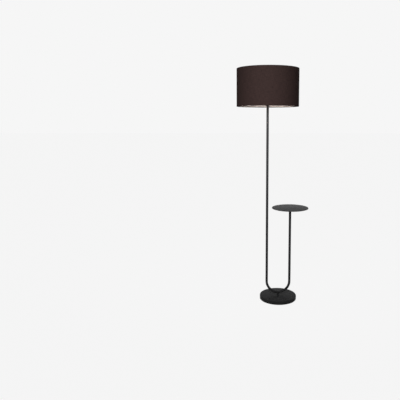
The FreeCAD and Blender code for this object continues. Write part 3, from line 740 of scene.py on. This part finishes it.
# %% Ring nuts
grip_count = 12
grip_depth = 0.0012
rim_band = 0.001
ring_radius = 0.0285
ring_bore = 0.01995
hub_radius = 0.0235
ring_rounding = 0.0006
flange_thickness = 0.0026
nut_height = 0.007
ring_steps = grip_count * 16


def ring_nut(name, flange_at, away, node):
    """Ring nut whose flange is at a height, with its hub above (away 1) or below it (away -1)."""
    flange_end = flange_at + away * flange_thickness
    hub_end = flange_at + away * nut_height
    mesh = turned([
        (ring_bore, flange_at),
        (ring_radius, flange_at, ring_rounding),
        (ring_radius, flange_end, ring_rounding),
        (hub_radius, flange_end),
        (hub_radius, hub_end, ring_rounding),
        (ring_bore, hub_end, 0.0003),
    ], steps=ring_steps)
    for vertex in mesh.verts:
        radius = vertex.co.xy.length
        if radius < ring_radius - rim_band:
            continue
        swing = math.cos(math.atan2(vertex.co.y, vertex.co.x) * grip_count)
        draw_in = grip_depth * max(0.0, swing) ** 0.7
        vertex.co.xy *= (radius - draw_in) / radius
    bmesh.ops.translate(mesh, verts=mesh.verts[:], vec=(lamp_x, 0, 0))
    add_piece(mesh, name, holder_plastic, "stand", node)


lower_face_z = 1.3269
upper_face_z = 1.3291
ring_nut("lower_nut", lower_face_z, -1, "shade_ring_lower")
ring_nut("upper_nut", upper_face_z, 1, "shade_ring_upper")

# %% [markdown]
# ## The bulb
#
# The bulb is a plain pear shape: an opal globe on a white cone. The globe starts as a UV sphere, is
# cut flat where the cone begins and given its wall with a solidify operator, so that its rim is a
# real edge against the cone.

# %% Globe and cone
bulb_bottom = 1.3247
bulb_height = 0.1092
globe_radius = 0.0302
globe_wall = 0.0012
globe_z = bulb_bottom + bulb_height - globe_radius
rim_z = bulb_bottom + 0.064
rim_radius = math.sqrt(globe_radius ** 2 - (rim_z - globe_z) ** 2)

globe_mesh = bmesh.new()
bmesh.ops.create_uvsphere(globe_mesh, u_segments=64, v_segments=40, radius=globe_radius,
                          matrix=Matrix.Translation((lamp_x, 0, globe_z)))
bmesh.ops.bisect_plane(globe_mesh, geom=globe_mesh.verts[:] + globe_mesh.edges[:] + globe_mesh.faces[:],
                       plane_co=(0, 0, rim_z), plane_no=(0, 0, -1), clear_outer=True)
bmesh.ops.recalc_face_normals(globe_mesh, faces=globe_mesh.faces[:])
bmesh.ops.solidify(globe_mesh, geom=globe_mesh.faces[:], thickness=globe_wall)
add_piece(globe_mesh, "opal_globe", bulb_opal, "bulb", "bulb_globe")

neck_z = bulb_bottom + 0.027
neck_radius = 0.0138
flare_z = neck_z + 0.0045
collar_z = neck_z - 0.012
collar_radius = 0.01255
collar_bore = 0.0110

cone_mesh = turned([
    (collar_bore, collar_z),
    (collar_radius, collar_z),
    (collar_radius, neck_z),
    (neck_radius, neck_z, 0.0004),
    (neck_radius, flare_z, neck_radius),
    (rim_radius, rim_z, 0.0004),
    (rim_radius - 0.0016, rim_z),
    (collar_bore, flare_z, neck_radius),
], lamp_x, steps=96)
add_piece(cone_mesh, "bulb_cone", bulb_white, "bulb", "bulb_housing")

# %% [markdown]
# ## The shade's frame
#
# A lampshade like this is held by steel wire: a ring in each hem, and three arms that rise beside the
# lining and run in to a flat fitter ring. The arms are welded to the lower ring, so everything but
# the upper ring is one piece. The rings are circles spun round the axis; one arm is built from a run,
# a bend and another run, and then copied and turned twice.

# %% Rings, arms and fitter
wire_radius = 0.00125
wire_track = 0.1982
low_wire = 1.2818
high_wire = 1.5182
fitter_z = 1.328
fitter_radius = 0.031
fitter_bore = 0.0207
fitter_half = 0.001
arm_radius = 0.00175
arm_track = 0.1961
arm_bend = 0.012
weld_depth = 0.0009
arm_angles = (-90, 30, 150)


def wire_ring(mesh, z):
    rim = new_rim(mesh, wire_radius, (wire_track, 0, z), (0, 1, 0), 16)
    corners = list({vertex for edge in rim for vertex in edge.verts})
    bmesh.ops.spin(mesh, geom=corners + rim, cent=(0, 0, 0), axis=(0, 0, 1), angle=2 * math.pi,
                   steps=180, use_merge=True)


def to_lamp_axis(mesh):
    """Cleans a mesh made about the origin and moves it to the lamp's axis."""
    bmesh.ops.remove_doubles(mesh, verts=mesh.verts[:], dist=1e-6)
    bmesh.ops.recalc_face_normals(mesh, faces=mesh.faces[:])
    bmesh.ops.translate(mesh, verts=mesh.verts[:], vec=(lamp_x, 0, 0))
    return mesh


spider_mesh = bmesh.new()
arm_start = fitter_radius - weld_depth
arm_rim = new_rim(spider_mesh, arm_radius, (arm_start, 0, fitter_z), (1, 0, 0), 20)
arm_rim = run_on(spider_mesh, arm_rim, (arm_track - arm_bend - arm_start, 0, 0))
arm_rim = bend_on(spider_mesh, arm_rim, (arm_track - arm_bend, 0, fitter_z - arm_bend), (0, 1, 0), 90, 14)
run_on(spider_mesh, arm_rim, (0, 0, low_wire - fitter_z + arm_bend))
bmesh.ops.holes_fill(spider_mesh, edges=spider_mesh.edges[:], sides=0)
first_arm = spider_mesh.verts[:] + spider_mesh.edges[:] + spider_mesh.faces[:]
for angle in arm_angles[1:]:
    copy = bmesh.ops.duplicate(spider_mesh, geom=first_arm)["geom"]
    bmesh.ops.rotate(spider_mesh, verts=vertices_in(copy), cent=(0, 0, 0),
                     matrix=Matrix.Rotation(math.radians(angle), 3, "Z"))
bmesh.ops.rotate(spider_mesh, verts=vertices_in(first_arm), cent=(0, 0, 0),
                 matrix=Matrix.Rotation(math.radians(arm_angles[0]), 3, "Z"))
wire_ring(spider_mesh, low_wire)
fitter_mesh = turned([
    (fitter_bore, fitter_z - fitter_half, 0.0003),
    (fitter_radius, fitter_z - fitter_half, 0.0004),
    (fitter_radius, fitter_z + fitter_half, 0.0004),
    (fitter_bore, fitter_z + fitter_half, 0.0003),
], steps=96)
take_in(spider_mesh, fitter_mesh)
spider = add_piece(to_lamp_axis(spider_mesh), "wire_spider", wire_white, "shade", "shade_spider")

top_ring_mesh = bmesh.new()
wire_ring(top_ring_mesh, high_wire)
top_ring = add_piece(to_lamp_axis(top_ring_mesh), "top_wire", wire_white, "shade", "shade_top_ring")

# %% [markdown]
# ## The cloth
#
# The cloth is a long strip, stretched round the lining and rolled at both edges over the wire rings.
# It could be a plain cylinder, but the rolled hem is the one thing that shows up close: a rounded
# lower edge with a dark band inside. So its section is drawn as the cloth runs. One vertex on the
# wall is spun round the wire's centre by a little more than half a turn, and a short tail goes back
# to the lining. The same is done at the top, the two walls are joined, and the whole is spun round
# the axis. A Solidify modifier then gives the thickness.

# %% Section of the cloth
cloth_radius = 0.200
cloth_thickness = 0.0005
wall_radius = cloth_radius - cloth_thickness / 2
hook_degrees = 220.0
tail_lean = math.radians(40)
tail_length = 0.0031
cloth_steps = 360

cloth_mesh = bmesh.new()
along = cloth_mesh.verts.layers.float.new("along")


def roll_hem(mesh, wire_z, up):
    """From the wall's end, round the wire and back to the lining. Gives back the wall's vertex."""
    wall_end = mesh.verts.new((wall_radius, 0, wire_z))
    roll = bmesh.ops.spin(mesh, geom=[wall_end], cent=(wire_track, 0, wire_z), axis=(0, up, 0),
                          angle=math.radians(hook_degrees), steps=14)
    roll_end = vertices_in(roll["geom_last"])[0]
    tail_way = Vector((math.sin(tail_lean), 0, up * math.cos(tail_lean)))
    tail = mesh.verts.new(roll_end.co + tail_way * tail_length)
    mesh.edges.new((roll_end, tail))
    return wall_end


wall_ends = [roll_hem(cloth_mesh, low_wire, 1), roll_hem(cloth_mesh, high_wire, -1)]
wall = cloth_mesh.edges.new(wall_ends)
bmesh.ops.subdivide_edges(cloth_mesh, edges=[wall], cuts=15)
loose_ends = [vertex for vertex in cloth_mesh.verts if len(vertex.link_edges) == 1]
strip_end = min(loose_ends, key=lambda vertex: vertex.co.z)
here, last_edge = strip_end, None
while True:
    onward = [edge for edge in here.link_edges if edge is not last_edge]
    if not onward:
        break
    following = onward[0].other_vert(here)
    following[along] = here[along] + onward[0].calc_length()
    here, last_edge = following, onward[0]

# %% [markdown]
# The lower hem is snipped where each arm passes. The faces there are deleted before the thickness is
# given. The UV map is laid out in metres: across from the angle round the drum, both ways from the
# rear seam, and up from the length along the strip that was stored on each vertex.

# %% The drum of cloth
spin_outline(cloth_mesh, cloth_steps)
notch_reach = arm_radius + 0.0012
arm_places = [Matrix.Rotation(math.radians(angle), 2) @ Vector((arm_track, 0)) for angle in arm_angles]
tail_low = low_wire + 0.0002
tail_high = low_wire + 0.006
tail_outside = wall_radius - 0.0005
notched = []
for face in cloth_mesh.faces:
    middle = face.calc_center_median()
    if not tail_low <= middle.z <= tail_high or middle.xy.length > tail_outside:
        continue
    if any((middle.xy - arm_place).length < notch_reach for arm_place in arm_places):
        notched.append(face)
bmesh.ops.delete(cloth_mesh, geom=notched, context="FACES")


def lay_out_cloth(mesh):
    """UV in metres: across from the angle, both ways from the rear, and up from the stored length."""
    uv = mesh.loops.layers.uv.new("UVMap")
    length = mesh.verts.layers.float["along"]
    for face in mesh.faces:
        middle = face.calc_center_median()
        face_angle = math.atan2(-middle.x, middle.y)
        for loop in face.loops:
            angle = math.atan2(-loop.vert.co.x, loop.vert.co.y)
            angle += 2 * math.pi * round((face_angle - angle) / (2 * math.pi))
            loop[uv].uv = (angle * cloth_radius, loop.vert[length])


lay_out_cloth(cloth_mesh)
bmesh.ops.translate(cloth_mesh, verts=cloth_mesh.verts[:], vec=(lamp_x, 0, 0))
cloth = add_piece(cloth_mesh, "shade_drum", shade_cloth, "shade", "shade_fabric")
thickness = cloth.modifiers.new("thickness", "SOLIDIFY")
thickness.thickness = cloth_thickness
thickness.offset = 0.0
thickness.use_even_offset = True
print("snipped faces:", len(notched))

# %% [markdown]
# Where the strip's two ends meet at the rear, one laps over the other and is glued down. The lap is a
# short piece of the same turn: a thin upright outline spun by the few degrees that it covers.

# %% The lap at the rear
lap_width = 0.012
lap_outside = cloth_radius + 0.0004
lap_low = low_wire + 0.0025
lap_high = high_wire - 0.0025
lap_mesh = bmesh.new()
lap_length = lap_mesh.verts.layers.float.new("along")
draw_outline(lap_mesh, [
    (cloth_radius, lap_low),
    (lap_outside, lap_low, 0.0002),
    (lap_outside, lap_high, 0.0002),
    (cloth_radius, lap_high),
])
for vertex in lap_mesh.verts:
    vertex[lap_length] = vertex.co.z
spread = lap_width / cloth_radius
spin_outline(lap_mesh, 12, spread)
bmesh.ops.rotate(lap_mesh, verts=lap_mesh.verts[:], cent=(0, 0, 0),
                 matrix=Matrix.Rotation(math.pi / 2 - spread / 2, 3, "Z"))
lay_out_cloth(lap_mesh)
bmesh.ops.translate(lap_mesh, verts=lap_mesh.verts[:], vec=(lamp_x, 0, 0))
rear_lap = add_piece(lap_mesh, "rear_lap", shade_cloth, "shade", "shade_seam")

# %% [markdown]
# ## The lining
#
# The lining is a stiff film, rolled into a drum just inside the cloth. In the photograph it shows as a
# pale sliver under the near edge, which is the inside of the far wall. It ends just above the wire,
# where the cloth's tail presses on it. Its wall is turned like the others, with as many steps as the
# cloth, so that the two drums lie one in the other without crossing.

# %% Lining drum
lining_outside = 0.1995
lining_inside = 0.1991
lining_low = low_wire + 0.00155
lining_high = high_wire - 0.00155

lining_mesh = turned([
    (lining_outside, lining_low),
    (lining_outside, lining_high),
    (lining_inside, lining_high),
    (lining_inside, lining_low),
], lamp_x, steps=cloth_steps)
add_piece(lining_mesh, "lining_drum", shade_lining, "shade", "shade_liner")

# %% [markdown]
# ## Finishes for the CAD pieces that stay
#
# The pieces that nobody sees without taking the lamp apart already have their right shape in the
# frame. Their meshes are left alone, and only the finish in their material slots changes.

# %% Dress the frame's own pieces
kept_nodes = {
    black_coat: ["stem"],
    cast_iron: ["base_weight"],
    zinc_steel: ["block_screw", "stem_washer", "stem_nut", "stem_nipple", "lower_joint_socket",
                 "lower_joint_stud", "upper_joint_socket", "upper_joint_stud", "pole_top_insert",
                 "table_leg_insert", "table_stud", "holder_washer", "holder_nipple", "holder_lock_nut"],
    block_plastic: ["terminal_block", "nipple_bush"],
    lead_sheath: ["inner_lead"],
    core_ceramic: ["holder_insulator"],
    brass: ["terminal_screws", "holder_terminal_screws", "centre_contact", "screw_shell", "bulb_tip"],
    cap_nickel: ["bulb_cap"],
    bulb_glass_black: ["bulb_insulator"],
}
dressed = set()
for finish, names in kept_nodes.items():
    for name in names:
        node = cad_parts[name]
        node.data.materials.clear()
        node.data.materials.append(finish)
        dressed.add(name)
left_over = [name for name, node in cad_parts.items() if name not in dressed and not node.hide_render]
print("dressed", len(dressed), "nodes; shown without a finish of their own:", left_over)

# %% [markdown]
# ## The studio
#
# The photograph has a plain pale ground with no horizon and next to no shadow. A floor and a world of
# the same grey give that: to the camera and to mirror-like rays both simply show the grey, while to
# soft bounced light the world is dimmer, so that it doesn't flatten the shapes. The floor keeps a
# small share of its real shading, so the lamp still has a faint shadow to stand on.

# %% World and floor
ground = seen(246, 246, 246)

world = bpy.data.worlds.new("studio")
bpy.context.scene.world = world
world.use_nodes = True
world_tree = world.node_tree
world_tree.nodes.clear()


def seen_directly(tree):
    """A factor of 1 for camera, glossy and transmission rays."""
    path = tree.nodes.new("ShaderNodeLightPath")
    total = path.outputs["Is Camera Ray"]
    for kind in ("Is Glossy Ray", "Is Transmission Ray"):
        largest = tree.nodes.new("ShaderNodeMath")
        largest.operation = "MAXIMUM"
        tree.links.new(total, largest.inputs[0])
        tree.links.new(path.outputs[kind], largest.inputs[1])
        total = largest.outputs["Value"]
    return total


def mix_shaders(tree, factor, first, second):
    """Two shaders mixed by a factor, which is a number or a socket."""
    mix = tree.nodes.new("ShaderNodeMixShader")
    if isinstance(factor, float):
        mix.inputs[0].default_value = factor
    else:
        tree.links.new(factor, mix.inputs[0])
    tree.links.new(first, mix.inputs[1])
    tree.links.new(second, mix.inputs[2])
    return mix.outputs["Shader"]


ambient = world_tree.nodes.new("ShaderNodeBackground")
ambient.inputs["Color"].default_value = (1, 1, 1, 1)
ambient.inputs["Strength"].default_value = 0.09
pale = world_tree.nodes.new("ShaderNodeBackground")
pale.inputs["Color"].default_value = ground
surroundings = mix_shaders(world_tree, seen_directly(world_tree), ambient.outputs["Background"],
                           pale.outputs["Background"])
world_output = world_tree.nodes.new("ShaderNodeOutputWorld")
world_tree.links.new(surroundings, world_output.inputs["Surface"])

floor_mesh = bmesh.new()
bmesh.ops.create_grid(floor_mesh, x_segments=1, y_segments=1, size=40)
floor_data = bpy.data.meshes.new("floor")
floor_mesh.to_mesh(floor_data)
floor_mesh.free()
floor = bpy.data.objects.new("floor", floor_data)
bpy.context.scene.collection.objects.link(floor)
floor_finish = bpy.data.materials.new("floor_paper")
floor_finish.use_nodes = True
tree = floor_finish.node_tree
tree.nodes.clear()
paper = tree.nodes.new("ShaderNodeBsdfDiffuse")
paper.inputs["Color"].default_value = seen(170, 170, 170)
paper_glow = tree.nodes.new("ShaderNodeEmission")
paper_glow.inputs["Color"].default_value = ground
paper_glow.inputs["Strength"].default_value = 1.07
plain_ground = mix_shaders(tree, 0.92, paper.outputs["BSDF"], paper_glow.outputs["Emission"])
floor_shader = mix_shaders(tree, seen_directly(tree), paper.outputs["BSDF"], plain_ground)
floor_output = tree.nodes.new("ShaderNodeOutputMaterial")
tree.links.new(floor_shader, floor_output.inputs["Surface"])
floor_data.materials.append(floor_finish)
print("ground grey in linear light:", round(ground[0], 3))

# %% [markdown]
# ## Lights
#
# The shade is brightest left of its middle and dark at its right edge, and the pole grows darker
# towards the floor. So the main light is a softbox at the shade's height, to the front left, with a
# grid in front that narrows its spread: it lights the shade and the upper pole and leaves the base to
# the bulb's own light and to a weak second box at the front right.


# %% Two softboxes
def softbox(name, place, target, width, height, spread, watts):
    light = bpy.data.lights.new(name, "AREA")
    light.shape = "RECTANGLE"
    light.size = width
    light.size_y = height
    light.spread = math.radians(spread)
    light.energy = watts
    box = bpy.data.objects.new(name, light)
    box.location = place
    box.rotation_euler = (Vector(target) - Vector(place)).to_track_quat("-Z", "Y").to_euler()
    bpy.context.scene.collection.objects.link(box)
    return box


key = softbox("key_light", place=(-0.35, -1.5, 1.45), target=(lamp_x, 0, 1.35),
              width=0.6, height=0.6, spread=110, watts=12.3)
fill = softbox("fill_light", place=(1.2, -2.4, 0.9), target=(0, 0, 0.5),
               width=0.8, height=1.2, spread=180, watts=1.0)
print("lights:", key.name, fill.name)

# %% [markdown]
# ## Camera
#
# The view was worked out from the photograph: where the rims, the table and the pole fall in it fixes
# the height, the distance and the tilt. The camera stands about three metres away at chest height and
# looks slightly down. The lamp isn't in the middle of the picture, so the lens is shifted, as on a
# view camera, rather than turned.

# %% Camera
picture_width = 400
film_width = 36.0
focal_pixels = 445.8
axis_pixel = (244.2, 171.6)
look_down = 0.114

camera_data = bpy.data.cameras.new("view")
camera_data.sensor_width = film_width
camera_data.lens = focal_pixels * film_width / picture_width
camera_data.shift_x = (picture_width / 2 - axis_pixel[0]) / picture_width
camera_data.shift_y = (axis_pixel[1] - picture_width / 2) / picture_width
camera = bpy.data.objects.new("view", camera_data)
camera.location = (-0.2272, -2.898, 1.191)
camera.rotation_euler = (math.pi / 2 - look_down, 0, 0)
bpy.context.scene.collection.objects.link(camera)
bpy.context.scene.camera = camera
bpy.context.scene.view_settings.view_transform = "Standard"
print("lens:", round(camera_data.lens, 2), "mm")

# %% [markdown]
# ## The end
#
# Blender must not change the lamp's size.

# %% The end
print("scene built")
